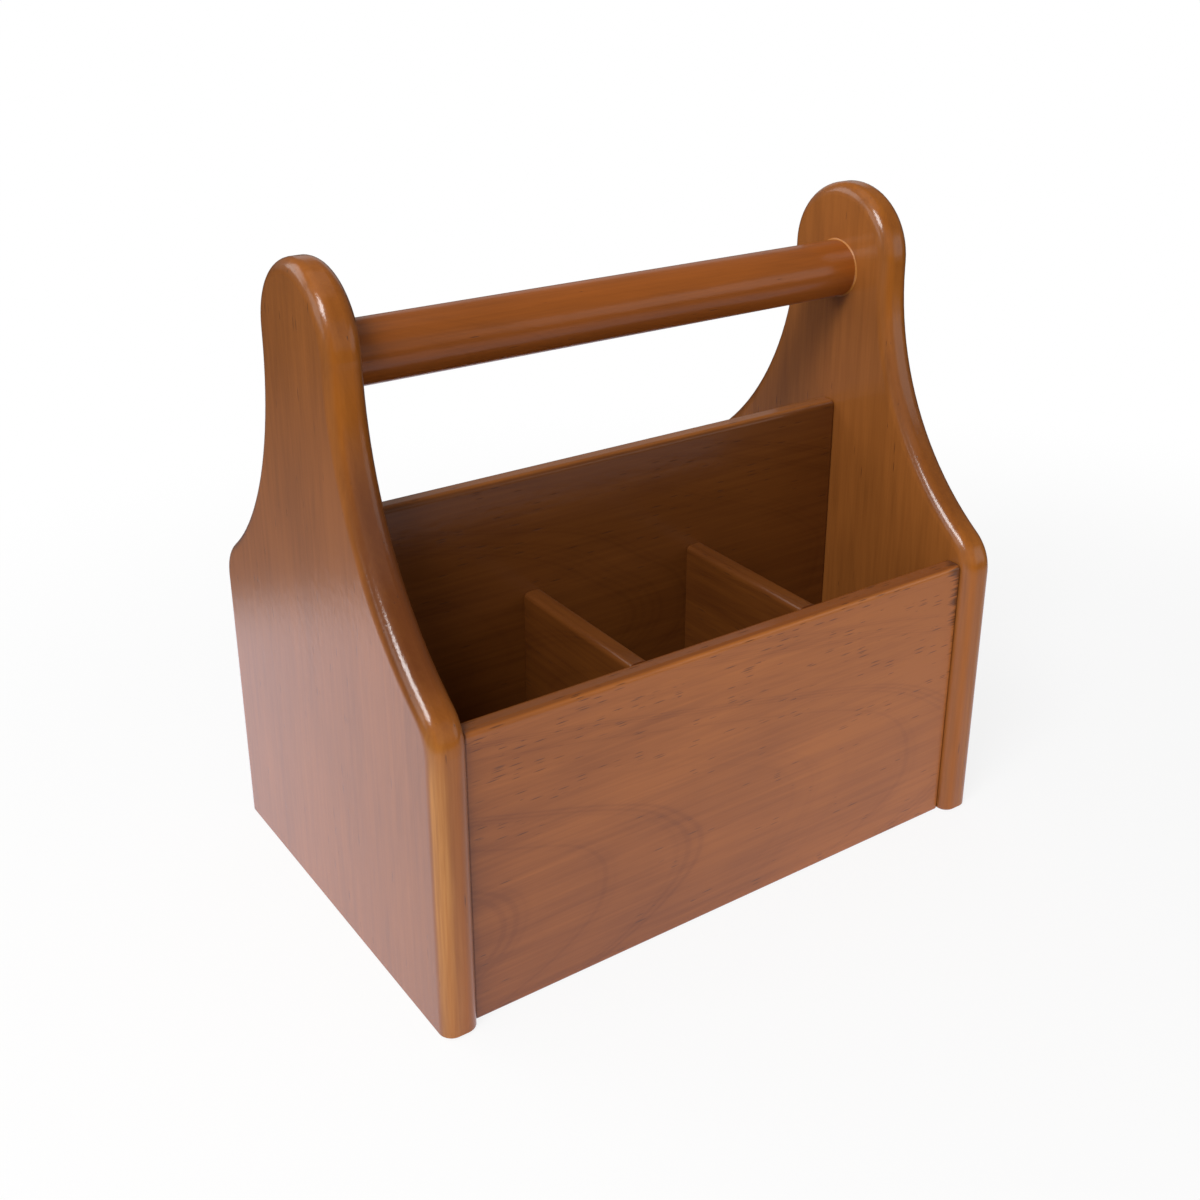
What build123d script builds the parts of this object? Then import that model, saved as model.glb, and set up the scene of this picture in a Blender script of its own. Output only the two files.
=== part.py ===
"""Open wooden table caddy with a round carrying handle.

Two shaped side panels carry a front, a middle and a back board, a raised base board and a
dowel handle. Dividers split the space in front of the middle board into three square bays
and the space behind it into a narrow bay and a wide one. Every board meets its neighbours
in a plain butt joint with blind wooden pins, so no fixing shows outside.

Millimetres. +X to the right along the handle, +Y to the back, +Z up.
Origin: centre of the footprint, on the surface that the caddy stands on.
"""
from build123d import *
from math import acos, degrees, sin
import os

# ---- driving dimensions -------------------------------------------------------------------
overall_width = 220.0       # outer face to outer face of the side panels
overall_depth = 150.0       # foot of a side panel, front to back
side_height = 219.5         # foot to the crown of a side panel
side_thickness = 12.0
board_thickness = 7.0       # front, middle, back and base boards, and the dividers

head_radius = 24.5          # half round at the top of a side panel
hollow_radius = 103.0       # concave sweep of the flank
hollow_top = 193.0          # height where the sweep turns vertical, just under the head
shoulder_radius = 16.5      # convex turn above the straight foot
side_round_over = 4.5       # both long arrises of a side panel, all but a bullnose
foot_chamfer = 0.8

front_set_back = 4.0        # front and back boards, in from the panels' edges
front_height = 99.5         # front and back boards
middle_height = 140.5
board_top_round = 2.0       # top arrises of boards and dividers
board_foot_round = 1.0
board_end_round = 0.9       # leaves a fine groove where a board meets a panel

base_underside = 5.0        # the base board stands clear of the table
divider_drop = 0.5          # divider tops, just under the front board's top
divider_end_round = 0.3
front_bays = 3              # equal bays in front of the middle board
narrow_bay_width = 47.0     # bay at the back left

handle_diameter = 20.0
handle_centre_height = 189.5
handle_tenon = 6.0          # length of rod let into each panel
handle_bore_clearance = 0.5 # glue space past the rod's end
handle_end_chamfer = 1.0
bore_rim_chamfer = 0.5

pin_diameter = 4.0
pin_in_panel = 7.0          # pin length let into a side panel
pin_in_board_end = 12.0     # pin length let into the end of a board
pin_in_board_face = 4.5     # pin length let into the face of a thin board
pin_end_chamfer = 0.5
pin_glue_space = 0.5        # each blind hole is this much deeper than its pin
pin_edge_distance = 14.0    # outermost pins, in from the board's edges
outer_board_pins = 3        # in each end of the front and the back board
middle_board_pins = 4       # in each end
base_board_pins = 4         # in each end
divider_pin_count = 2       # in each end of a divider

# ---- derived places -----------------------------------------------------------------------
half_width = overall_width / 2
half_depth = overall_depth / 2
inner_half = half_width - side_thickness
inner_width = 2 * inner_half
half_board = board_thickness / 2

front_outer = -half_depth + front_set_back
front_inner = front_outer + board_thickness
front_centre = front_outer + half_board
back_centre = -front_centre
back_inner = -front_inner
base_top = base_underside + board_thickness
base_middle = base_underside + half_board

front_bay_width = (inner_width - (front_bays - 1) * board_thickness) / front_bays
front_divider_offset = front_bay_width / 2 + half_board
rear_divider_centre = -inner_half + narrow_bay_width + half_board
divider_top = front_height - divider_drop


# ---- helpers ------------------------------------------------------------------------------
def spread(low, high, count, margin):
    """Evenly spaced places between two edges, the outermost a margin in from each edge."""
    first = low + margin
    step = (high - low - 2 * margin) / (count - 1)
    return [first + step * i for i in range(count)]


def block(x_range, y_range, z_range):
    """Plain rectangular board between the given limits."""
    sizes = [high - low for low, high in (x_range, y_range, z_range)]
    centre = [(high + low) / 2 for low, high in (x_range, y_range, z_range)]
    return Pos(*centre) * Box(*sizes)


def eased_board(x_range, y_range, z_range, along, end_round):
    """Board with rounded top arrises, eased foot arrises and eased ends."""
    board = block(x_range, y_range, z_range)
    long_edges = board.edges().filter_by(along).sort_by(Axis.Z)
    board = fillet(long_edges[-2:], board_top_round)
    low_edges = board.edges().filter_by(along).sort_by(Axis.Z)[:2]
    board = fillet(low_edges, board_foot_round)
    ends = board.faces().filter_by(along)
    return fillet(ends.edges(), end_round)


def lying_cylinder(centre, length, radius, along, end_chamfer=0.0):
    """Cylinder centred at a point, lying along the X or the Y axis."""
    turn = Rot(0, 90, 0) if along == Axis.X else Rot(90, 0, 0)
    rod = Cylinder(radius, length)
    if end_chamfer:
        rod = chamfer(rod.edges().filter_by(GeomType.CIRCLE), end_chamfer)
    return Pos(*centre) * turn * rod


def pin_set(places, along, joint_place, below, above):
    """Pins across a joint plane, and the cutters of their blind holes.

    places holds each pin's two other coordinates, in X, Y, Z order. below and above are the
    lengths of pin on the two sides of the joint plane.
    """
    pins, cutters = [], []
    for first, second in places:
        def centre(offset):
            middle = joint_place + offset
            return (middle, first, second) if along == Axis.X else (first, middle, second)

        offset = (above - below) / 2
        length = above + below
        radius = pin_diameter / 2
        pins.append(lying_cylinder(centre(offset), length, radius, along, pin_end_chamfer))
        cutters.append(lying_cylinder(centre(offset), length + 2 * pin_glue_space, radius, along))
    return pins, cutters


def drilled(solid, *cutter_lists):
    """The solid with every listed blind hole cut out."""
    for cutters in cutter_lists:
        for cutter in cutters:
            solid = solid - cutter
    return solid


# ---- side panels and handle ---------------------------------------------------------------
def side_profile():
    """Outline of a side panel: straight foot, shoulder, hollow flank and round head."""
    turn = acos(1 - (half_depth - head_radius) / (shoulder_radius + hollow_radius))
    shoulder_height = hollow_top - (shoulder_radius + hollow_radius) * sin(turn)
    head_centre = side_height - head_radius
    with BuildSketch(Plane.YZ) as profile:
        with BuildLine():
            foot = Line((half_depth, 0), (half_depth, shoulder_height))
            shoulder = JernArc(foot @ 1, (0, 1), shoulder_radius, degrees(turn))
            flank = JernArc(shoulder @ 1, shoulder % 1, hollow_radius, -degrees(turn))
            neck = Line(flank @ 1, (head_radius, head_centre))
            head = JernArc(neck @ 1, (0, 1), head_radius, 90)
            Line((0, 0), foot @ 0)
            Line((0, 0), head @ 1)
        make_face()
        mirror(about=Plane.YZ)
    return profile.sketch


def bare_side_panel():
    """Side panel on the +X side, rounded over, before any hole."""
    outline = Pos(inner_half, 0, 0) * side_profile()
    panel = extrude(outline, amount=side_thickness, dir=(1, 0, 0))
    faces = panel.faces().filter_by(Axis.X)
    rims = faces.edges().filter_by(lambda edge: edge.center().Z > foot_chamfer)
    panel = fillet(rims, side_round_over)
    foot = panel.faces().sort_by(Axis.Z)[0]
    return chamfer(foot.edges(), foot_chamfer)


def handle_bore():
    """Blind bore and small rim chamfer for the handle, in the +X panel's inner face."""
    depth = handle_tenon + handle_bore_clearance
    radius = handle_diameter / 2
    centre = (inner_half + depth / 2, 0, handle_centre_height)
    bore = lying_cylinder(centre, depth, radius, Axis.X)
    rim = Cone(radius + bore_rim_chamfer, radius, bore_rim_chamfer)
    rim_centre = (inner_half + bore_rim_chamfer / 2, 0, handle_centre_height)
    return [bore, Pos(*rim_centre) * Rot(0, 90, 0) * rim]


def handle_rod():
    """Round handle with its ends let into both panels."""
    length = inner_width + 2 * handle_tenon
    centre = (0, 0, handle_centre_height)
    return lying_cylinder(centre, length, handle_diameter / 2, Axis.X, handle_end_chamfer)


# ---- boards -------------------------------------------------------------------------------
def upright_board(y_centre, low, high):
    """Board that stands between the side panels."""
    y_range = (y_centre - half_board, y_centre + half_board)
    return eased_board((-inner_half, inner_half), y_range, (low, high), Axis.X, board_end_round)


def base_board():
    """Raised floor, level between the front and back boards."""
    return block((-inner_half, inner_half), (front_inner, back_inner), (base_underside, base_top))


def divider(x_centre, y_range):
    """Cross board that stands on the base between two upright boards."""
    x_range = (x_centre - half_board, x_centre + half_board)
    z_range = (base_top, divider_top)
    return eased_board(x_range, y_range, z_range, Axis.Y, divider_end_round)


# ---- pins ---------------------------------------------------------------------------------
def end_pins(places, side):
    """Pins from a side panel into the ends of a board; side is -1 for left, 1 for right."""
    below, above = pin_in_board_end, pin_in_panel
    if side < 0:
        below, above = above, below
    return pin_set(places, Axis.X, side * inner_half, below, above)


def board_pin_places(y_centre, low, high, count):
    """Places of the pins in the end of an upright board."""
    return [(y_centre, z) for z in spread(low, high, count, pin_edge_distance)]


def base_pin_places():
    """Places of the pins in the end of the base board, in one level row."""
    depths = spread(front_inner, back_inner, base_board_pins, pin_edge_distance)
    return [(y, base_middle) for y in depths]


def divider_pins(x_centre, front_face, back_face):
    """The pins at both ends of a divider, and the cutters of their holes at each end."""
    heights = spread(base_top, divider_top, divider_pin_count, pin_edge_distance)
    places = [(x_centre, z) for z in heights]
    front = pin_set(places, Axis.Y, front_face, pin_in_board_face, pin_in_board_end)
    back = pin_set(places, Axis.Y, back_face, pin_in_board_end, pin_in_board_face)
    return front[0] + back[0], front[1], back[1]


# ---- assembly -----------------------------------------------------------------------------
def build():
    """Every piece by its node name."""
    nodes = {}
    panels = {-1: mirror(bare_side_panel(), about=Plane.YZ), 1: bare_side_panel()}
    bore = handle_bore()
    panels[1] = drilled(panels[1], bore)
    panels[-1] = drilled(panels[-1], [mirror(cutter, about=Plane.YZ) for cutter in bore])

    boards = {
        "front_board": upright_board(front_centre, 0, front_height),
        "back_board": upright_board(back_centre, 0, front_height),
        "middle_board": upright_board(0, base_top, middle_height),
        "base_board": base_board(),
    }
    pin_places = {
        "front_board": board_pin_places(front_centre, 0, front_height, outer_board_pins),
        "back_board": board_pin_places(back_centre, 0, front_height, outer_board_pins),
        "middle_board": board_pin_places(0, base_top, middle_height, middle_board_pins),
        "base_board": base_pin_places(),
    }
    for name, places in pin_places.items():
        for side, word in ((-1, "left"), (1, "right")):
            pins, holes = end_pins(places, side)
            panels[side] = drilled(panels[side], holes)
            boards[name] = drilled(boards[name], holes)
            nodes[f"{name}_{word}_pins"] = Compound(children=pins)

    front_bay = (front_inner, -half_board)
    rear_bay = (half_board, back_inner)
    dividers = {
        "front_divider_left": (-front_divider_offset, front_bay, "front_board", "middle_board"),
        "front_divider_right": (front_divider_offset, front_bay, "front_board", "middle_board"),
        "rear_divider": (rear_divider_centre, rear_bay, "middle_board", "back_board"),
    }
    for name, (x_centre, y_range, near, far) in dividers.items():
        pins, near_holes, far_holes = divider_pins(x_centre, *y_range)
        nodes[name] = drilled(divider(x_centre, y_range), near_holes, far_holes)
        boards[near] = drilled(boards[near], near_holes)
        boards[far] = drilled(boards[far], far_holes)
        nodes[f"{name}_pins"] = Compound(children=pins)

    nodes["left_side_panel"] = panels[-1]
    nodes["right_side_panel"] = panels[1]
    nodes["handle_rod"] = handle_rod()
    nodes.update(boards)
    return nodes


os.makedirs("parts", exist_ok=True)
for node, shape in build().items():
    shape.label = node
    export_step(shape, f"parts/{node}.step")
    box = shape.bounding_box()
    print(f"{node:28s} {box.size.X:7.2f} {box.size.Y:7.2f} {box.size.Z:7.2f}")
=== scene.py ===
"""Looks of a wooden table caddy.

Two shaped side panels carry upright boards, dividers and a round handle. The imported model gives
every piece its shape and place. This file gives each one its wood, adds the beads of lacquer round
the handle's ends, and adds the studio that it is all seen in. Lengths are metres unless a name
ends in _mm.
"""
from math import cos, pi, radians, sin
from typing import NamedTuple

import bmesh
import bpy
from bpy.props import FloatProperty, FloatVectorProperty, PointerProperty
from mathutils import Matrix, Vector


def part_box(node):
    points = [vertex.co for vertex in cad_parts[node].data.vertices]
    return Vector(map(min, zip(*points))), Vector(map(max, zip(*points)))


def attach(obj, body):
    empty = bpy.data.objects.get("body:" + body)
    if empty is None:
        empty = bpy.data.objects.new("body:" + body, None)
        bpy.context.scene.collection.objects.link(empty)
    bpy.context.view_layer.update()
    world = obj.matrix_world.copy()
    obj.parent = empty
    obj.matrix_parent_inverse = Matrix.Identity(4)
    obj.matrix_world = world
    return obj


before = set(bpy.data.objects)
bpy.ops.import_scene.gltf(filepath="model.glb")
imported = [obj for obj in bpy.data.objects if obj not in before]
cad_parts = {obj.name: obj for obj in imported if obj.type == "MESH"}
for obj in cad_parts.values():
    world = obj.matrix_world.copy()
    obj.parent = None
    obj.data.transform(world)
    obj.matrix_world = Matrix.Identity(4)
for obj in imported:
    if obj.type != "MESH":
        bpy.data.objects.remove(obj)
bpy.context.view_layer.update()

bl_info = {
    "name": "Wooden Table Caddy",
    "version": (1, 0, 0),
    "blender": (4, 5, 0),
    "location": "View3D > Sidebar > Caddy",
    "description": "Stained wood finishes and a plain studio for a wooden table caddy",
    "category": "Object",
}

MM = 0.001


def linear(hex_colour):
    """An sRGB hex colour as linear red, green and blue."""
    channels = [int(hex_colour[i:i + 2], 16) / 255 for i in (1, 3, 5)]
    return [c / 12.92 if c <= 0.04045 else ((c + 0.055) / 1.055) ** 2.4 for c in channels]


def colour(name, description, hex_colour):
    """A colour property with an sRGB default."""
    return FloatVectorProperty(name=name, description=description, subtype="COLOR", size=3,
                               min=0, max=1, default=linear(hex_colour))


def width(name, description, value_mm):
    """A length property, given in millimetres and kept in metres."""
    return FloatProperty(name=name, description=description, default=value_mm * MM,
                         min=0.00001, precision=5, unit="LENGTH")


# ---- settings -----------------------------------------------------------------------------
class CaddyWoodSettings(bpy.types.PropertyGroup):
    """Colours and sizes of the stained wood.

    A single fibre and a single pore, 0.02 and 0.2 mm wide, are too fine to show, so a fibre here
    is a bundle, and a pore is drawn half as wide again.
    """

    panel_light: colour("Panel light", "Pale fibres of the side panels", "#A4622B")
    panel_dark: colour("Panel dark", "Dark fibres of the side panels", "#7D481E")
    edge_light: colour("Edge light", "Pale fibres of the side panels' edges", "#B3671D")
    edge_dark: colour("Edge dark", "Dark fibres of the side panels' edges", "#935011")
    board_light: colour("Board light", "Pale fibres of the front and back boards", "#BC6E2C")
    board_dark: colour("Board dark", "Dark fibres of the front and back boards", "#8A4B1D")
    # Painted shade: darker wood for the inside of the caddy, and for the top edges of the front
    # and back boards, where less light falls.
    painted_shade_pale: colour("Inner light", "Pale fibres of the inner boards", "#7A4519")
    painted_shade_dark: colour("Inner dark", "Dark fibres of the inner boards", "#5B2F11")
    handle_light: colour("Handle light", "Pale fibres of the handle", "#A75A1E")
    handle_dark: colour("Handle dark", "Dark fibres of the handle", "#8B4A18")
    # Edge amber is stain rubbed thin in sanding; on the panels' round-overs it is also painted
    # light from the lamps on the left.
    edge_amber: colour("Edge amber", "Stain rubbed thin on sanded edges", "#C48642")
    end_grain_and_shade: colour("End grain", "Stain drunk in where the fibres are cut across", "#5E2C0D")
    pore: colour("Pore", "Stain caught in open pores", "#452818")
    soak: colour("Soak", "Stain drawn into the end of a board", "#472510")
    bare_beech: colour("Bare beech", "Unfinished pins", "#D9B98C")
    ring: width("Ring width", "Width of a growth ring", 4.6)
    fibre: width("Fibre width", "Width of a bundle of fibres", 0.8)
    pore_width: width("Pore width", "Width that an open pore is drawn", 0.31)
    bead: width("Lacquer bead", "Radius of the bead of lacquer round the handle", 0.5)
    lacquer_roughness: FloatProperty(name="Lacquer roughness", description="Satin of the lacquer",
                                     default=0.19, min=0, max=1, subtype="FACTOR")


class CaddyStudioSettings(bpy.types.PropertyGroup):
    """Floor, sky, lamps and lens."""

    floor: colour("Floor", "White paper under the object", "#F6F6F6")
    sheen: colour("Sheen", "White paper as the lacquer mirrors it, a little pink", "#FFF2FD")
    surround: colour("Surround", "Floor beyond the white paper, as the lacquer mirrors it",
                     "#404040")
    floor_radius: FloatProperty(name="Floor radius", description="Radius of the round floor",
                                default=12, min=1, unit="LENGTH")
    paper_radius: FloatProperty(name="Paper radius", description="Radius of the white paper",
                                default=0.415, min=0.1, unit="LENGTH")
    sky: FloatProperty(name="Sky", description="Even light from all round", default=0.22, min=0,
                       max=1, subtype="FACTOR")
    lamp_power: FloatProperty(name="Lamp power", description="Power of all lamps together",
                              default=16.0, min=0, unit="POWER")
    lens_mm: FloatProperty(name="Lens", description="Focal length on a 36 mm sensor",
                           default=44.53, min=1, unit="CAMERA")


# ---- nodes --------------------------------------------------------------------------------
# A Mix node's colour sockets share their names with others, so they are known by number.
MIX_A, MIX_B, MIX_OUT = 6, 7, 2


def add_node(tree, kind, inputs=None, **settings):
    """Adds a node with its settings; inputs maps a socket's name or index to a value or output."""
    node = tree.nodes.new(kind)
    for name, value in settings.items():
        setattr(node, name, value)
    for socket, value in (inputs or {}).items():
        if isinstance(value, bpy.types.NodeSocket):
            tree.links.new(value, node.inputs[socket])
        else:
            node.inputs[socket].default_value = value
    return node


def empty_material(name):
    """A material with no nodes yet."""
    material = bpy.data.materials.new(name)
    material.use_nodes = True
    material.node_tree.nodes.clear()
    return material


# ---- wood ---------------------------------------------------------------------------------
BOARD_END = 0.098       # from the middle to the end of a board, where it meets a side panel


class Cut(NamedTuple):
    """How a board was cut and finished."""

    order: str                  # the object's axes along the grain, across the face and through
    heart: float                # place, across, of the middle line of the rings' arches
    bow: float                  # how slender the arches are: a small one bends the rings soon
    seed: int                   # shifts the patterns, so that no two boards are alike
    rings: float = 0.5          # how strongly growth rings show
    streaks: float = 0.7        # how strongly bundles of fibres show
    pores: float = 0.5          # how many open pores it has
    teeth_at: float = 1.0       # where its toothed end lies, along; a metre off for none
    rubbed: bool = False        # a side panel, with amber round-overs, stain rubbed thin and partly painted light, and open flanks
    drunk: float = 0.6          # how dark the stain is in end grain, with painted shade where a panel's flanks get less light
    coat: float = 1.0           # how full the lacquer is
    tone: tuple = (0.0, 0.0, 0.0)   # darker: everywhere, per metre along, per metre across; on the front board and the handle, painted light and shade


CUTS = {
    # The left panel's darker end grain is painted shade: its flanks get less light than the right
    # panel's.
    "left_side_panel": Cut("ZYX", -0.150, 0.060, 1, rings=0.3, streaks=0.5, pores=0.12,
                           rubbed=True, drunk=0.82),
    "right_side_panel": Cut("ZYX", 0.130, 0.050, 2, rings=0.4, pores=0.08, rubbed=True,
                            drunk=0.5, tone=(-0.25, 0.0, 0.0)),
    # The front board's tone is painted light and shade: lighter to the right and upwards, darker
    # at the left end.
    "front_board": Cut("XZY", 0.030, 0.020, 3, rings=0.6, streaks=0.58, pores=1.0,
                       teeth_at=BOARD_END, tone=(0.17, -3.5, -3.5)),
    "back_board": Cut("XZY", 0.060, 0.024, 4, rings=0.6, pores=0.8, teeth_at=BOARD_END),
    "middle_board": Cut("XZY", 0.080, 0.024, 5, streaks=0.6, coat=0.6),
    "base_board": Cut("XYZ", 0.010, 0.030, 6, rings=0.6, pores=0.6, teeth_at=BOARD_END, coat=0.6),
    "front_divider_left": Cut("YZX", 0.060, 0.024, 7, coat=0.6),
    "front_divider_right": Cut("YZX", 0.020, 0.024, 8, coat=0.6),
    "rear_divider": Cut("YZX", 0.040, 0.024, 9, coat=0.6),
    # The handle's tone is painted shade, darker towards its left end.
    "handle_rod": Cut("XZY", 0.120, 0.060, 10, rings=0.4, streaks=0.8, pores=0.08, coat=0.7,
                      tone=(0.05, -2.0, 0.0)),
}

# Soft patterns in the wood and its lacquer: length along the grain, width across it, detail.
PATTERNS = {
    "wander": (110 * MM, 40 * MM, 1),      # slow drift of the grain
    "streak": (75 * MM, 2.6 * MM, 3),      # broad streaks
    "blotch": (55 * MM, 26 * MM, 2),       # uneven take-up of the stain
    "cluster": (34 * MM, 7 * MM, 2),       # where open pores gather
    "teeth": (60 * MM, 1.1 * MM, 1),       # how far the stain creeps into each bundle's end
    "peel": (4.5 * MM, 2.4 * MM, 1),       # orange peel of sprayed lacquer
    "dust": (0.8 * MM, 0.6 * MM, 1),       # nibs in the lacquer, drawn a little coarse to show
}
FIBRE_LENGTH, FIBRE_DETAIL = 24 * MM, 2
PATTERN_SHIFTS = (7.31, 3.17)              # per seed, along and across, in pattern lengths
PATTERN_ROUGHNESS = 0.55

RING_LEAN = 3.0                            # how fast the rings move on through the thickness
RING_DRIFT = 35 * MM                       # how far the wandering grain moves a ring
RING_BANDS = 0.2                           # clear rings come in bands, some five rings apart

PORE_LENGTH = 7 * MM
PORE_SPACING = 2.1                         # widths of a pore from one row to the next
PORE_SHIFT = 5.1                           # per seed, in pore lengths
PORES_IN_RINGS = 0.05                      # late wood holds a few more
PORE_CHANCES = 0.008, 0.5                  # that a pore is open, outside a cluster and in it
PORE_HEART = 0.16                          # share of its cell that is fully dark

# How much each pattern darkens the stain. Rings only darken it, so their mean comes off again.
STREAK_SHARE, FIBRE_SHARE, BLOTCH_SHARE, RING_SHARE, RING_MEAN = 1.3, 0.8, 0.85, 0.38, 0.16
PORE_STAIN = 0.62                          # how dark an open pore is

RAGGED = 8 * MM                            # how unevenly the amber, rubbed thin and partly painted light, ends across an edge
TEETH_LENGTH = 16 * MM
TEETH_SLANT = 0.12                         # how much longer they are, per metre up

# Ramps: where each starts and is full, and its two ends where they aren't 0 and 1. The first four
# read noise or a wave. FLAT ones read how squarely a point faces out of the broad face, 1 to 0.
CLEAR_RINGS = {"From Min": 0.48, "From Max": 0.68}
RING_WAVE = {"From Min": -0.8, "From Max": 1.0, "To Min": 0.35}
PORE_CROWD = {"From Min": 0.50, "From Max": 0.70}
PATCHES = {"From Min": 0.35, "From Max": 0.65, "To Min": 1.0, "To Max": 0.6}
PORE_SIZES = {"To Min": 0.24, "To Max": 0.46}
OFF_HEART = {"From Min": 18 * MM, "From Max": 50 * MM, "To Min": -0.04, "To Max": 0.09}
FLAT_TO_EDGE = {"From Min": 0.85, "From Max": 0.45}
FLAT_TO_RUBBED = {"From Min": 0.999, "From Max": 0.90}
FLAT_TO_NIBS = {"From Min": 0.99, "From Max": 0.85}
END_GRAIN = {"From Min": 0.02, "From Max": 0.42}
ABOVE_SHOULDER = {"From Min": 98 * MM, "From Max": 118 * MM}
INTO_HEAD = {"From Min": 180 * MM, "From Max": 205 * MM, "To Min": 1.0, "To Max": 0.35}
OUTER_SIDE = {"From Min": 98.5 * MM, "From Max": 105 * MM}
BELOW_SHOULDER = {"From Min": 110 * MM, "From Max": 82 * MM, "To Min": 0.05, "To Max": 0.9}
OFF_THE_FOOT = {"From Min": 0.0, "From Max": 50 * MM, "To Min": 0.5}
TEETH = 15 * MM, 18 * MM, 0.75             # past the board's end: start, full, and how dark

WOOD_GLOSS = {"Roughness": 0.55, "IOR": 1.5, "Specular IOR Level": 0.1}
LACQUER_IOR = 1.5
FIBRE_BUMP = {"Strength": 0.3, "Distance": 0.04 * MM}
FIBRE_PORE_DEPTH = -2.0                    # in the wood, for a fibre's 1
LACQUER_BUMP = {"Strength": 0.5, "Distance": 0.12 * MM}
LACQUER_PORE_DEPTH = -0.35                 # in the lacquer, for the orange peel's 1
NIBS, NIBS_ON_CURVE = 0.16, 0.35           # everywhere, and added on the round-overs


class Grain(NamedTuple):
    """What the wood's nodes read of a point on a board."""

    place: object       # the next three together
    along: object       # the grain
    across: object      # the grain, in the broad face
    through: object     # the board's thickness
    flat: object        # how squarely the point faces out of the broad face, 0 to 1
    end: object         # how squarely it faces along the grain, 0 to 1


def read_grain(tree, cut):
    """Turns the object's own coordinates and normal to the way that the board was cut."""
    coordinates = add_node(tree, "ShaderNodeTexCoord").outputs
    axes = add_node(tree, "ShaderNodeSeparateXYZ", {0: coordinates["Object"]}).outputs
    place = add_node(tree, "ShaderNodeCombineXYZ", {
        i: axes[axis] for i, axis in enumerate(cut.order)})
    facing = add_node(tree, "ShaderNodeSeparateXYZ", {0: coordinates["Normal"]}).outputs
    flat, end = (add_node(tree, "ShaderNodeMath", {0: facing[axis]}, operation="ABSOLUTE")
                 for axis in (cut.order[2], cut.order[0]))
    return Grain(place.outputs[0], *(axes[axis] for axis in cut.order), flat.outputs[0],
                 end.outputs[0])


def wood_patterns(tree, place, seed, fibre):
    """The soft patterns, stretched along the grain, by name."""
    patterns = {}
    sizes = {**PATTERNS, "fibre": (FIBRE_LENGTH, fibre, FIBRE_DETAIL)}
    for name, (length, across, detail) in sizes.items():
        stretched = add_node(tree, "ShaderNodeMapping", {
            "Vector": place, "Location": (*(seed * shift for shift in PATTERN_SHIFTS), 0.0),
            "Scale": (1 / length, 1 / across, 1 / across)})
        patterns[name] = add_node(tree, "ShaderNodeTexNoise", {
            "Vector": stretched.outputs[0], "Scale": 1.0, "Detail": detail,
            "Roughness": PATTERN_ROUGHNESS}).outputs[0]
    return patterns


def growth_rings(tree, grain, wander, cut, ring):
    """Late wood of a board sawn off the heart: nested arches that straighten into lines."""
    offset = add_node(tree, "ShaderNodeMath", {0: grain.across, 1: cut.heart},
                      operation="SUBTRACT")
    square = add_node(tree, "ShaderNodeMath", {0: offset.outputs[0], 1: offset.outputs[0]},
                      operation="MULTIPLY")
    arch = add_node(tree, "ShaderNodeMath", {0: square.outputs[0], 1: 1 / cut.bow,
                                             2: grain.along}, operation="MULTIPLY_ADD")
    depth = add_node(tree, "ShaderNodeMath", {0: grain.through, 1: RING_LEAN,
                                              2: arch.outputs[0]}, operation="MULTIPLY_ADD")
    drift = add_node(tree, "ShaderNodeMath", {0: wander, 1: RING_DRIFT, 2: depth.outputs[0]},
                     operation="MULTIPLY_ADD")
    phase = add_node(tree, "ShaderNodeMath", {0: drift.outputs[0], 1: 1 / ring},
                     operation="MULTIPLY")
    bands = add_node(tree, "ShaderNodeTexNoise", {
        "W": phase.outputs[0], "Scale": RING_BANDS, "Detail": 1.0, "Roughness": 0.6},
        noise_dimensions="1D")
    strength = add_node(tree, "ShaderNodeMapRange", {"Value": bands.outputs[0], **CLEAR_RINGS},
                        interpolation_type="SMOOTHSTEP")
    turns = add_node(tree, "ShaderNodeMath", {0: phase.outputs[0], 1: 2 * pi},
                     operation="MULTIPLY")
    wave = add_node(tree, "ShaderNodeMath", {0: turns.outputs[0]}, operation="SINE")
    late = add_node(tree, "ShaderNodeMapRange", {"Value": wave.outputs[0], **RING_WAVE},
                    interpolation_type="SMOOTHSTEP")
    return add_node(tree, "ShaderNodeMath", {0: strength.outputs[0], 1: late.outputs[0]},
                    operation="MULTIPLY").outputs[0]


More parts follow.
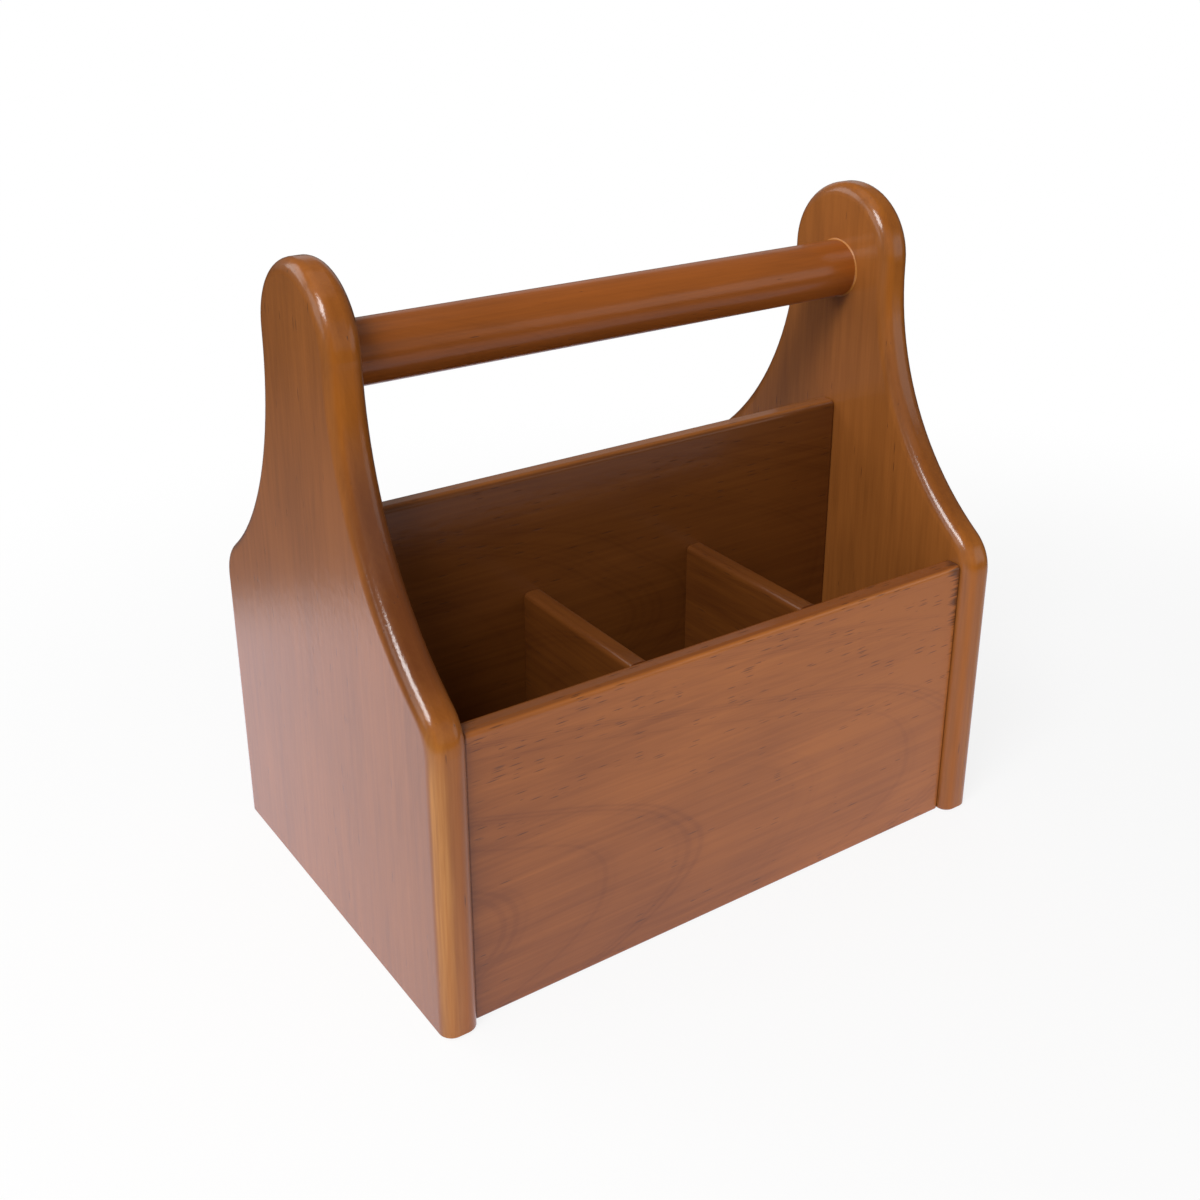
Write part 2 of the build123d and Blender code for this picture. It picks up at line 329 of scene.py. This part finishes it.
def open_pores(tree, grain, cluster, rings, cut, pore):
    """Thin dark dashes along the grain: in clusters, in late wood and away from the heart."""
    row = 1 / (PORE_SPACING * pore)
    cell_place = add_node(tree, "ShaderNodeMapping", {
        "Vector": grain.place, "Location": (PORE_SHIFT * cut.seed, 0.0, 0.0),
        "Scale": (1 / PORE_LENGTH, row, row)})
    cells = add_node(tree, "ShaderNodeTexVoronoi", {
        "Vector": cell_place.outputs[0], "Scale": 1.0}).outputs
    chance = add_node(tree, "ShaderNodeSeparateColor", {0: cells["Color"]}).outputs
    offset = add_node(tree, "ShaderNodeMath", {0: grain.across, 1: cut.heart},
                      operation="SUBTRACT")
    apart = add_node(tree, "ShaderNodeMath", {0: offset.outputs[0]}, operation="ABSOLUTE")
    steep = add_node(tree, "ShaderNodeMapRange", {"Value": apart.outputs[0], **OFF_HEART})
    gathered = add_node(tree, "ShaderNodeMath", {0: cluster, 1: steep.outputs[0]},
                        operation="ADD")
    crowd = add_node(tree, "ShaderNodeMath", {0: rings, 1: PORES_IN_RINGS,
                                              2: gathered.outputs[0]}, operation="MULTIPLY_ADD")
    apart_gate, crowd_gate = (1.0 - share * cut.pores for share in PORE_CHANCES)
    gate = add_node(tree, "ShaderNodeMapRange", {
        "Value": crowd.outputs[0], **PORE_CROWD, "To Min": apart_gate, "To Max": crowd_gate})
    is_open = add_node(tree, "ShaderNodeMath", {0: chance[0], 1: gate.outputs[0]},
                       operation="GREATER_THAN")
    size = add_node(tree, "ShaderNodeMapRange", {"Value": chance[1], **PORE_SIZES})
    dash = add_node(tree, "ShaderNodeMapRange", {
        "Value": cells["Distance"], "From Min": size.outputs[0], "From Max": PORE_HEART})
    return add_node(tree, "ShaderNodeMath", {0: dash.outputs[0], 1: is_open.outputs[0]},
                    operation="MULTIPLY").outputs[0]


def stain_depth(tree, grain, patterns, rings, cut):
    """How dark the stain is, from 0 to 1: every pattern adds its share round a middle of 0.5, and
    cut.tone adds a tilt, painted light and shade on the front board and the handle.
    """
    shares = {"streak": STREAK_SHARE * cut.streaks, "fibre": FIBRE_SHARE * cut.streaks,
              "blotch": BLOTCH_SHARE}
    everywhere, per_along, per_across = cut.tone
    shade = 0.5 - 0.5 * sum(shares.values()) - RING_MEAN * cut.rings + everywhere
    for pattern, share in ((rings, RING_SHARE * cut.rings), (grain.along, per_along),
                           (grain.across, per_across),
                           *((patterns[name], share) for name, share in shares.items())):
        shade = add_node(tree, "ShaderNodeMath", {0: pattern, 1: share, 2: shade},
                         operation="MULTIPLY_ADD").outputs[0]
    return shade


def end_grain_and_shade(tree, grain, cut):
    """Where end grain drinks more stain, plus painted shade on the left panel's flanks. On the
    panels: the sloping flanks, less on the head.
    """
    drunk = add_node(tree, "ShaderNodeMapRange", {
        "Value": grain.end, **END_GRAIN, "To Max": cut.drunk},
        interpolation_type="SMOOTHSTEP").outputs[0]
    for ramp in (ABOVE_SHOULDER, INTO_HEAD) if cut.rubbed else ():
        part = add_node(tree, "ShaderNodeMapRange", {"Value": grain.along, **ramp},
                        interpolation_type="SMOOTHSTEP")
        drunk = add_node(tree, "ShaderNodeMath", {0: drunk, 1: part.outputs[0]},
                         operation="MULTIPLY").outputs[0]
    return drunk


def rubbed_and_painted_light_round_overs(tree, grain, patterns):
    """Thin stain on the sanded outer round-overs, low on a panel, in uneven streaks, partly
    painted light.
    """
    turned = add_node(tree, "ShaderNodeMapRange", {"Value": grain.flat, **FLAT_TO_RUBBED},
                      interpolation_type="SMOOTHSTEP")
    side = add_node(tree, "ShaderNodeMath", {0: grain.through}, operation="ABSOLUTE")
    ragged = add_node(tree, "ShaderNodeMath", {0: patterns["streak"], 1: -RAGGED,
                                               2: side.outputs[0]}, operation="MULTIPLY_ADD")
    outer = add_node(tree, "ShaderNodeMapRange", {"Value": ragged.outputs[0], **OUTER_SIDE},
                     interpolation_type="SMOOTHSTEP")
    low = add_node(tree, "ShaderNodeMapRange", {"Value": grain.along, **BELOW_SHOULDER},
                   interpolation_type="SMOOTHSTEP")
    patchy = add_node(tree, "ShaderNodeMapRange", {"Value": patterns["fibre"], **PATCHES})
    foot = add_node(tree, "ShaderNodeMapRange", {"Value": grain.along, **OFF_THE_FOOT})
    amount = low.outputs[0]
    for part in (turned, outer, patchy, foot):
        amount = add_node(tree, "ShaderNodeMath", {0: amount, 1: part.outputs[0]},
                          operation="MULTIPLY").outputs[0]
    return amount


def soaked_teeth(tree, grain, teeth, cut):
    """Teeth of stain at the right end of a board that butts against a panel, longest on top."""
    reach = add_node(tree, "ShaderNodeMath", {0: grain.across, 1: TEETH_SLANT, 2: grain.along},
                     operation="MULTIPLY_ADD")
    toothed = add_node(tree, "ShaderNodeMath", {0: teeth, 1: TEETH_LENGTH,
                                                2: reach.outputs[0]}, operation="MULTIPLY_ADD")
    start, full, dark = TEETH
    return add_node(tree, "ShaderNodeMapRange", {
        "Value": toothed.outputs[0], "From Min": cut.teeth_at + start,
        "From Max": cut.teeth_at + full, "To Max": dark}).outputs[0]


def stained_wood(name, wood, cut, face, edge):
    """Rubberwood, planed, wiped with a walnut stain and sprayed with satin lacquer.

    Fine streaks and short dark pores run with the grain, and faint growth rings arch across it.
    The stain lies thin and amber on the sanded edges of the panels, and paler there as painted
    light from the lamps on the left; it is dark on end grain, with painted shade on the left
    panel's flanks, and creeps in dark teeth into the right ends of the boards. The clear lacquer
    gives a soft, slightly wavy gloss over all of it. face and edge are the light and dark stain of
    the broad faces and of the narrow edges; the inner boards' darker colours among them are
    painted shade.
    """
    material = empty_material(name)
    tree = material.node_tree
    grain = read_grain(tree, cut)
    patterns = wood_patterns(tree, grain.place, cut.seed, wood.fibre)
    rings = growth_rings(tree, grain, patterns["wander"], cut, wood.ring)
    pores = open_pores(tree, grain, patterns["cluster"], rings, cut, wood.pore_width)

    shade = stain_depth(tree, grain, patterns, rings, cut)
    narrow = add_node(tree, "ShaderNodeMapRange", {"Value": grain.flat, **FLAT_TO_EDGE},
                      interpolation_type="SMOOTHSTEP").outputs[0]
    on_face, on_edge = (
        add_node(tree, "ShaderNodeMix", {0: shade, MIX_A: [*light, 1], MIX_B: [*dark, 1]},
                 data_type="RGBA").outputs[MIX_OUT] for light, dark in (face, edge))
    stain = add_node(tree, "ShaderNodeMix", {0: narrow, MIX_A: on_face, MIX_B: on_edge},
                     data_type="RGBA").outputs[MIX_OUT]
    layers = [(end_grain_and_shade(tree, grain, cut), wood.end_grain_and_shade)]
    if cut.rubbed:
        layers.append((rubbed_and_painted_light_round_overs(tree, grain, patterns), wood.edge_amber))
    pored = add_node(tree, "ShaderNodeMath", {0: pores, 1: PORE_STAIN}, operation="MULTIPLY")
    layers += [(soaked_teeth(tree, grain, patterns["teeth"], cut), wood.soak),
               (pored.outputs[0], wood.pore)]
    for amount, tint in layers:
        stain = add_node(tree, "ShaderNodeMix", {0: amount, MIX_A: stain, MIX_B: [*tint, 1]},
                         data_type="RGBA").outputs[MIX_OUT]

    relief = add_node(tree, "ShaderNodeMath", {0: pores, 1: FIBRE_PORE_DEPTH,
                                               2: patterns["fibre"]}, operation="MULTIPLY_ADD")
    fibres = add_node(tree, "ShaderNodeBump", {"Height": relief.outputs[0], **FIBRE_BUMP})
    nibs = NIBS
    if cut.rubbed:
        curved = add_node(tree, "ShaderNodeMapRange", {"Value": grain.flat, **FLAT_TO_NIBS})
        nibs = add_node(tree, "ShaderNodeMath", {0: curved.outputs[0], 1: NIBS_ON_CURVE, 2: NIBS},
                        operation="MULTIPLY_ADD").outputs[0]
    film = add_node(tree, "ShaderNodeMath", {0: patterns["dust"], 1: nibs, 2: patterns["peel"]},
                    operation="MULTIPLY_ADD")
    sunk = add_node(tree, "ShaderNodeMath", {0: pores, 1: LACQUER_PORE_DEPTH,
                                             2: film.outputs[0]}, operation="MULTIPLY_ADD")
    lacquer = add_node(tree, "ShaderNodeBump", {"Height": sunk.outputs[0], **LACQUER_BUMP})
    shader = add_node(tree, "ShaderNodeBsdfPrincipled", {
        "Base Color": stain, **WOOD_GLOSS, "Normal": fibres.outputs[0], "Coat Weight": cut.coat,
        "Coat Roughness": wood.lacquer_roughness, "Coat IOR": LACQUER_IOR,
        "Coat Normal": lacquer.outputs[0]})
    add_node(tree, "ShaderNodeOutputMaterial", {"Surface": shader.outputs[0]})
    return material


FLECK_LENGTH, FLECK_WIDTH = 3 * MM, 0.6 * MM
FLECKS = {"From Min": 0.35, "From Max": 0.75, "To Max": 0.35}


def bare_beech(wood):
    """Beech dowel pins, cut and left bare: pale, dry, with short flecks."""
    material = empty_material("Beech cut bare pins")
    tree = material.node_tree
    place = add_node(tree, "ShaderNodeTexCoord").outputs["Object"]
    stretched = add_node(tree, "ShaderNodeMapping", {
        "Vector": place, "Scale": (1 / FLECK_LENGTH, 1 / FLECK_WIDTH, 1 / FLECK_WIDTH)})
    fleck = add_node(tree, "ShaderNodeTexNoise", {"Vector": stretched.outputs[0], "Scale": 1.0,
                                                  "Detail": 3.0})
    amount = add_node(tree, "ShaderNodeMapRange", {"Value": fleck.outputs[0], **FLECKS})
    base = add_node(tree, "ShaderNodeMix", {
        0: amount.outputs[0], MIX_A: [*wood.bare_beech, 1], MIX_B: [*wood.edge_amber, 1]},
        data_type="RGBA")
    shader = add_node(tree, "ShaderNodeBsdfPrincipled", {
        "Base Color": base.outputs[MIX_OUT], "Roughness": 0.75, "IOR": 1.5})
    add_node(tree, "ShaderNodeOutputMaterial", {"Surface": shader.outputs[0]})
    return material


RIPPLE = 3 * MM
RIPPLE_BUMP = {"Strength": 0.3, "Distance": 0.05 * MM}


def pooled_lacquer_painted_glint(wood):
    """Lacquer run into a joint: clear over stain, thick and glossy; its pale amber is partly a
    painted highlight, the warm glint of its rim.
    """
    material = empty_material("Lacquer pooled satin amber")
    tree = material.node_tree
    place = add_node(tree, "ShaderNodeTexCoord").outputs["Object"]
    ripple = add_node(tree, "ShaderNodeTexNoise", {"Vector": place, "Scale": 1 / RIPPLE,
                                                   "Detail": 2.0})
    base = add_node(tree, "ShaderNodeMix", {
        0: ripple.outputs[0], MIX_A: [*wood.edge_amber, 1], MIX_B: [*wood.edge_light, 1]},
        data_type="RGBA")
    skin = add_node(tree, "ShaderNodeBump", {"Height": ripple.outputs[0], **RIPPLE_BUMP})
    shader = add_node(tree, "ShaderNodeBsdfPrincipled", {
        "Base Color": base.outputs[MIX_OUT], "Roughness": 0.35, "IOR": 1.5, "Coat Weight": 0.4,
        "Coat Roughness": 0.2, "Coat IOR": 1.46, "Coat Normal": skin.outputs[0]})
    add_node(tree, "ShaderNodeOutputMaterial", {"Surface": shader.outputs[0]})
    return material


def finish_node(name, material):
    """Gives a CAD node one material."""
    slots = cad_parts[name].data.materials
    slots.clear()
    slots.append(material)


def finish_wood(names, wood, face, edge):
    """Gives each named board its own cut of the stained wood."""
    for name in names:
        title = f"Rubberwood stained lacquered {name.replace('_', ' ')}"
        finish_node(name, stained_wood(title, wood, CUTS[name], face, edge))


# ---- pieces -------------------------------------------------------------------------------
class CADDY_OT_side_panels(bpy.types.Operator):
    """Finishes the two shaped side panels, grain upright"""

    bl_idname = "caddy.side_panels"
    bl_label = "Side Panels"

    def execute(self, context):
        wood = context.scene.caddy_wood
        finish_wood(["left_side_panel", "right_side_panel"], wood,
                    (wood.panel_light, wood.panel_dark), (wood.edge_light, wood.edge_dark))
        return {"FINISHED"}


class CADDY_OT_upright_boards(bpy.types.Operator):
    """Finishes the front and back boards, grain along the board, their edges darker as painted
    shade
    """

    bl_idname = "caddy.upright_boards"
    bl_label = "Front and Back Boards"

    def execute(self, context):
        wood = context.scene.caddy_wood
        finish_wood(["front_board", "back_board"], wood, (wood.board_light, wood.board_dark),
                    (wood.board_dark, wood.painted_shade_pale))
        return {"FINISHED"}


class CADDY_OT_inner_boards(bpy.types.Operator):
    """Finishes the middle board, the raised base and the dividers, darker as painted shade, all
    but the middle board's edges
    """

    bl_idname = "caddy.inner_boards"
    bl_label = "Inner Boards"

    def execute(self, context):
        wood = context.scene.caddy_wood
        # painted shade on the inside; the middle board's edges keep the panels' wood
        inner = (wood.painted_shade_pale, wood.painted_shade_dark)
        finish_wood(["middle_board"], wood, inner, (wood.panel_light, wood.panel_dark))
        finish_wood(["base_board", "front_divider_left", "front_divider_right", "rear_divider"],
                    wood, inner, inner)
        return {"FINISHED"}


class CADDY_OT_handle(bpy.types.Operator):
    """Finishes the round handle, grain along its length"""

    bl_idname = "caddy.handle"
    bl_label = "Handle"

    def execute(self, context):
        wood = context.scene.caddy_wood
        rod = (wood.handle_light, wood.handle_dark)
        finish_wood(["handle_rod"], wood, rod, rod)
        return {"FINISHED"}


class CADDY_OT_pins(bpy.types.Operator):
    """Finishes the hidden pins"""

    bl_idname = "caddy.pins"
    bl_label = "Pins"

    def execute(self, context):
        material = bare_beech(context.scene.caddy_wood)
        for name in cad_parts:
            if name.endswith("_pins"):
                finish_node(name, material)
        return {"FINISHED"}


class CADDY_OT_lacquer_beads(bpy.types.Operator):
    """Adds the bead of lacquer where the handle enters each side panel"""

    bl_idname = "caddy.lacquer_beads"
    bl_label = "Lacquer Beads"

    TURNS = 72                              # steps round the handle
    CURVE_STEPS = 6                         # steps along the hollow fillet
    BROAD_WAVES, BROAD_SWELL = 3, 0.12      # how the bead thickens and thins on its way round
    SHORT_WAVES, SHORT_SWELL = 7, 0.08
    TUCK = 0.2 * MM                         # how far it reaches into the wood, to leave no gap

    def execute(self, context):
        wood = context.scene.caddy_wood
        material = pooled_lacquer_painted_glint(wood)
        low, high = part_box("handle_rod")
        centre = [(a + b) / 2 for a, b in zip(low, high)]
        rod = (high[2] - low[2]) / 2
        for side, panel in ((-1, "left_side_panel"), (1, "right_side_panel")):
            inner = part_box(panel)[1 if side < 0 else 0][0]
            mesh = self.fillet(side, inner, centre, rod, wood.bead)
            self.add_piece(context, panel.replace("side_panel", "lacquer_bead"), mesh, material)
        return {"FINISHED"}

    def fillet(self, side, inner, centre, rod, bead):
        """A hollow fillet between the handle and a panel's inner face, a little wavy."""
        mesh = bmesh.new()
        rings = []
        for turn in range(self.TURNS):
            angle = 2 * pi * turn / self.TURNS
            swell = bead * (1 + self.BROAD_SWELL * sin(self.BROAD_WAVES * angle + side)
                            + self.SHORT_SWELL * sin(self.SHORT_WAVES * angle))
            curve = (pi / 2 * step / self.CURVE_STEPS for step in range(self.CURVE_STEPS + 1))
            profile = [(rod + swell * (1 - sin(a)), swell * (1 - cos(a))) for a in curve]
            profile += [(rod - self.TUCK, swell), (rod - self.TUCK, -self.TUCK),
                        (rod + swell, -self.TUCK)]
            rings.append([mesh.verts.new((inner - side * out, centre[1] + r * sin(angle),
                                          centre[2] + r * cos(angle))) for r, out in profile])
        for ring, after in zip(rings, rings[1:] + rings[:1]):
            for a, b, c, d in zip(ring, after, after[1:] + after[:1], ring[1:] + ring[:1]):
                mesh.faces.new((a, b, c, d)).smooth = True
        bmesh.ops.recalc_face_normals(mesh, faces=mesh.faces)
        return mesh

    def add_piece(self, context, name, mesh, material):
        """Makes an object of a mesh, riding on the caddy."""
        data = bpy.data.meshes.new(name)
        mesh.to_mesh(data)
        mesh.free()
        data.materials.append(material)
        piece = bpy.data.objects.new(name, data)
        context.scene.collection.objects.link(piece)
        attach(piece, "root")


# ---- stage --------------------------------------------------------------------------------
PAPER_SHIFT = (0.0, 0.150, 0.0)            # the paper's middle lies this far to the front
PAPER_FADE = 0.05                          # half the width over which its edge fades
TO_LAMPS = (-0.5, 0.86, 0.0)               # the way on the floor towards the back left
# painted pool of light: how much brighter the paper glows in the lacquer towards the lamps
WHITER_TO_LAMPS = {"From Min": -0.30, "From Max": 0.30, "To Min": -0.42, "To Max": 0.26}
FAR_PAPER = {"From Min": 0.85, "From Max": 0.45, "To Max": 0.15}    # dim, past the edge
CUT_OUT = {"From Min": 0.30, "From Max": 0.60, "To Min": 0.85}      # leaves the shadow near


def white_paper(studio):
    """Matt white paper, which stays white to the eye and keeps the object's soft shadow.

    The camera sees white all the way. Mirrored in the lacquer it glows brightest towards the lamps
    at the back left, a painted pool of light, and fades out past the paper's edge.
    """
    material = empty_material("Paper matt white")
    tree = material.node_tree
    place = add_node(tree, "ShaderNodeTexCoord").outputs["Object"]
    centred = add_node(tree, "ShaderNodeVectorMath", {0: place, 1: PAPER_SHIFT}, operation="ADD")
    radius = add_node(tree, "ShaderNodeVectorMath", {0: centred.outputs[0]},
                      operation="LENGTH").outputs["Value"]
    inside = add_node(tree, "ShaderNodeMapRange", {
        "Value": radius, "From Min": studio.paper_radius + PAPER_FADE,
        "From Max": studio.paper_radius - PAPER_FADE}, interpolation_type="SMOOTHSTEP").outputs[0]
    path = add_node(tree, "ShaderNodeLightPath").outputs
    direct = add_node(tree, "ShaderNodeMath", {
        0: path["Is Camera Ray"], 1: path["Is Transmission Ray"]}, operation="MAXIMUM").outputs[0]

    # the paper itself, which takes light and shadow
    is_paper = add_node(tree, "ShaderNodeMath", {0: inside, 1: direct}, operation="MAXIMUM")
    tone = add_node(tree, "ShaderNodeMix", {
        0: is_paper.outputs[0], MIX_A: [*studio.surround, 1], MIX_B: [*studio.floor, 1]},
        data_type="RGBA")
    paper = add_node(tree, "ShaderNodeBsdfDiffuse", {"Color": tone.outputs[MIX_OUT]})

    # plain white, a little pink where the lacquer mirrors it, and there a painted pool of light,
    # brighter towards the lamps
    toward = add_node(tree, "ShaderNodeVectorMath", {0: place, 1: TO_LAMPS},
                      operation="DOT_PRODUCT")
    painted_pool_of_light = add_node(tree, "ShaderNodeMapRange", {
        "Value": toward.outputs["Value"], **WHITER_TO_LAMPS})
    level = add_node(tree, "ShaderNodeMath", {0: path["Is Glossy Ray"], 1: painted_pool_of_light.outputs[0],
                                              2: 1.0}, operation="MULTIPLY_ADD")
    tint = add_node(tree, "ShaderNodeMix", {
        0: path["Is Glossy Ray"], MIX_A: [1, 1, 1, 1], MIX_B: [*studio.sheen, 1]},
        data_type="RGBA")
    glow = add_node(tree, "ShaderNodeEmission", {"Color": tint.outputs[MIX_OUT],
                                                 "Strength": level.outputs[0]})

    # how much of that white each kind of ray sees
    halo = add_node(tree, "ShaderNodeMapRange", {"Value": radius, **FAR_PAPER})
    bright = add_node(tree, "ShaderNodeMath", {0: inside, 1: halo.outputs[0]},
                      operation="MAXIMUM")
    near = add_node(tree, "ShaderNodeMapRange", {"Value": radius, **CUT_OUT},
                    interpolation_type="SMOOTHSTEP")
    seen = add_node(tree, "ShaderNodeMath", {0: direct, 1: near.outputs[0]},
                    operation="MULTIPLY")
    mirrored = add_node(tree, "ShaderNodeMath", {0: path["Is Glossy Ray"], 1: bright.outputs[0]},
                        operation="MULTIPLY")
    either = add_node(tree, "ShaderNodeMath", {0: seen.outputs[0], 1: mirrored.outputs[0]},
                      operation="MAXIMUM")
    blend = add_node(tree, "ShaderNodeMixShader", {
        0: either.outputs[0], 1: paper.outputs[0], 2: glow.outputs[0]})
    add_node(tree, "ShaderNodeOutputMaterial", {"Surface": blend.outputs[0]})
    return material


def aim(thing, place, target):
    """Puts a lamp at a place, facing a target."""
    thing.matrix_world = (Matrix.Translation(place)
                          @ (Vector(target) - place).to_track_quat("-Z", "Y").to_matrix().to_4x4())


def direction(azimuth, elevation):
    """Unit vector; azimuth 0 is +Y and 90 is +X."""
    a, e = radians(azimuth), radians(elevation)
    return Vector((sin(a) * cos(e), cos(a) * cos(e), sin(e)))


# Soft lamps: azimuth and elevation in degrees, width and height, share of the power.
LAMPS = {
    "key_lamp": (-120, 47, (0.42, 0.46), 0.56),
    "left_lamp": (-85, 25, (0.70, 0.60), 0.12),
    "back_lamp": (-40, 35, (0.70, 0.60), 0.16),
    "front_lamp": (-178, 22, (1.20, 0.80), 0.05),
    "right_lamp": (138, 12, (0.60, 0.50), 0.05),
    "rim_lamp": (35, 22, (0.90, 0.50), 0.03),
    "top_lamp": (0, 86, (0.90, 0.90), 0.05),
}
LAMP_DISTANCE = 1.2
LAMP_TARGET = (0, 0, 0.1)

CAMERA_PLACE = (-0.2653, -0.3842, 0.3141)
CAMERA_AZIMUTH, CAMERA_ELEVATION, CAMERA_ROLL = 180 + 35.06, 22.495, 0.28
CAMERA_SHIFT = (-0.0176, -0.0798)
SENSOR_MM = 36
CLIP_START = 0.01

FLOOR_SIDES = 96
SKY_IN_LACQUER = 0.5                       # how much of the sky the lacquer mirrors


class CADDY_OT_stage(bpy.types.Operator):
    """Adds the floor, the lamps, the sky and the camera"""

    bl_idname = "caddy.stage"
    bl_label = "Studio"

    def execute(self, context):
        scene = context.scene
        studio = scene.caddy_studio
        self.add_floor(studio)
        self.add_sky(scene, studio)
        for name, lamp in LAMPS.items():
            self.add_lamp(scene, name, *lamp, studio.lamp_power)
        self.add_camera(scene, studio)
        scene.view_settings.view_transform = "Standard"
        return {"FINISHED"}

    def add_floor(self, studio):
        bpy.ops.mesh.primitive_circle_add(vertices=FLOOR_SIDES, radius=studio.floor_radius,
                                          fill_type="NGON")
        floor = bpy.context.active_object
        floor.name = "floor"
        floor.data.materials.append(white_paper(studio))

    def add_sky(self, scene, studio):
        """White to the eye, plain dim light to the wood, and dimmer still in the lacquer."""
        world = bpy.data.worlds.new("Studio")
        world.use_nodes = True
        tree = world.node_tree
        tree.nodes.clear()
        path = add_node(tree, "ShaderNodeLightPath").outputs
        direct = add_node(tree, "ShaderNodeMath", {
            0: path["Is Camera Ray"], 1: path["Is Transmission Ray"]}, operation="MAXIMUM")
        dim = add_node(tree, "ShaderNodeMath", {
            0: path["Is Glossy Ray"], 1: (SKY_IN_LACQUER - 1) * studio.sky, 2: studio.sky},
            operation="MULTIPLY_ADD")
        level = add_node(tree, "ShaderNodeMix", {
            "Factor": direct.outputs[0], "A": dim.outputs[0], "B": 1.0})
        glow = add_node(tree, "ShaderNodeBackground", {
            "Color": [1, 1, 1, 1], "Strength": level.outputs[0]})
        add_node(tree, "ShaderNodeOutputWorld", {"Surface": glow.outputs[0]})
        scene.world = world

    def add_lamp(self, scene, name, azimuth, elevation, size, share, power):
        light = bpy.data.lights.new(name, "AREA")
        light.shape = "RECTANGLE"
        light.size, light.size_y = size
        light.energy = power * share
        lamp = bpy.data.objects.new(name, light)
        scene.collection.objects.link(lamp)
        target = Vector(LAMP_TARGET)
        aim(lamp, target + direction(azimuth, elevation) * LAMP_DISTANCE, target)

    def add_camera(self, scene, studio):
        """The photograph's view: from the front left, looking down by 22.5 degrees."""
        back = direction(CAMERA_AZIMUTH, CAMERA_ELEVATION)
        right = Vector((0, 0, 1)).cross(back).normalized()
        up = back.cross(right)
        turn = Matrix((right, up, back)).transposed().to_4x4()
        camera = bpy.data.objects.new("camera", bpy.data.cameras.new("camera"))
        camera.data.sensor_width = SENSOR_MM
        camera.data.lens = studio.lens_mm
        camera.data.shift_x, camera.data.shift_y = CAMERA_SHIFT
        camera.data.clip_start = CLIP_START
        camera.matrix_world = (Matrix.Translation(CAMERA_PLACE) @ turn
                               @ Matrix.Rotation(radians(CAMERA_ROLL), 4, "Z"))
        scene.collection.objects.link(camera)
        scene.camera = camera


class CADDY_PT_panel(bpy.types.Panel):
    """Lists the steps"""

    bl_idname = "CADDY_PT_panel"
    bl_label = "Wooden Table Caddy"
    bl_space_type = "VIEW_3D"
    bl_region_type = "UI"
    bl_category = "Caddy"

    def draw(self, context):
        for operator in STEPS:
            self.layout.operator(operator.bl_idname)


STEPS = (CADDY_OT_side_panels, CADDY_OT_upright_boards, CADDY_OT_inner_boards, CADDY_OT_handle,
         CADDY_OT_pins, CADDY_OT_lacquer_beads, CADDY_OT_stage)
CLASSES = (CaddyWoodSettings, CaddyStudioSettings, *STEPS, CADDY_PT_panel)


def register():
    for item in CLASSES:
        bpy.utils.register_class(item)
    bpy.types.Scene.caddy_wood = PointerProperty(type=CaddyWoodSettings)
    bpy.types.Scene.caddy_studio = PointerProperty(type=CaddyStudioSettings)


def unregister():
    del bpy.types.Scene.caddy_studio
    del bpy.types.Scene.caddy_wood
    for item in reversed(CLASSES):
        bpy.utils.unregister_class(item)


def main():
    register()
    bpy.ops.caddy.side_panels()
    bpy.ops.caddy.upright_boards()
    bpy.ops.caddy.inner_boards()
    bpy.ops.caddy.handle()
    bpy.ops.caddy.pins()
    bpy.ops.caddy.lacquer_beads()
    bpy.ops.caddy.stage()


if __name__ == "__main__":
    main()
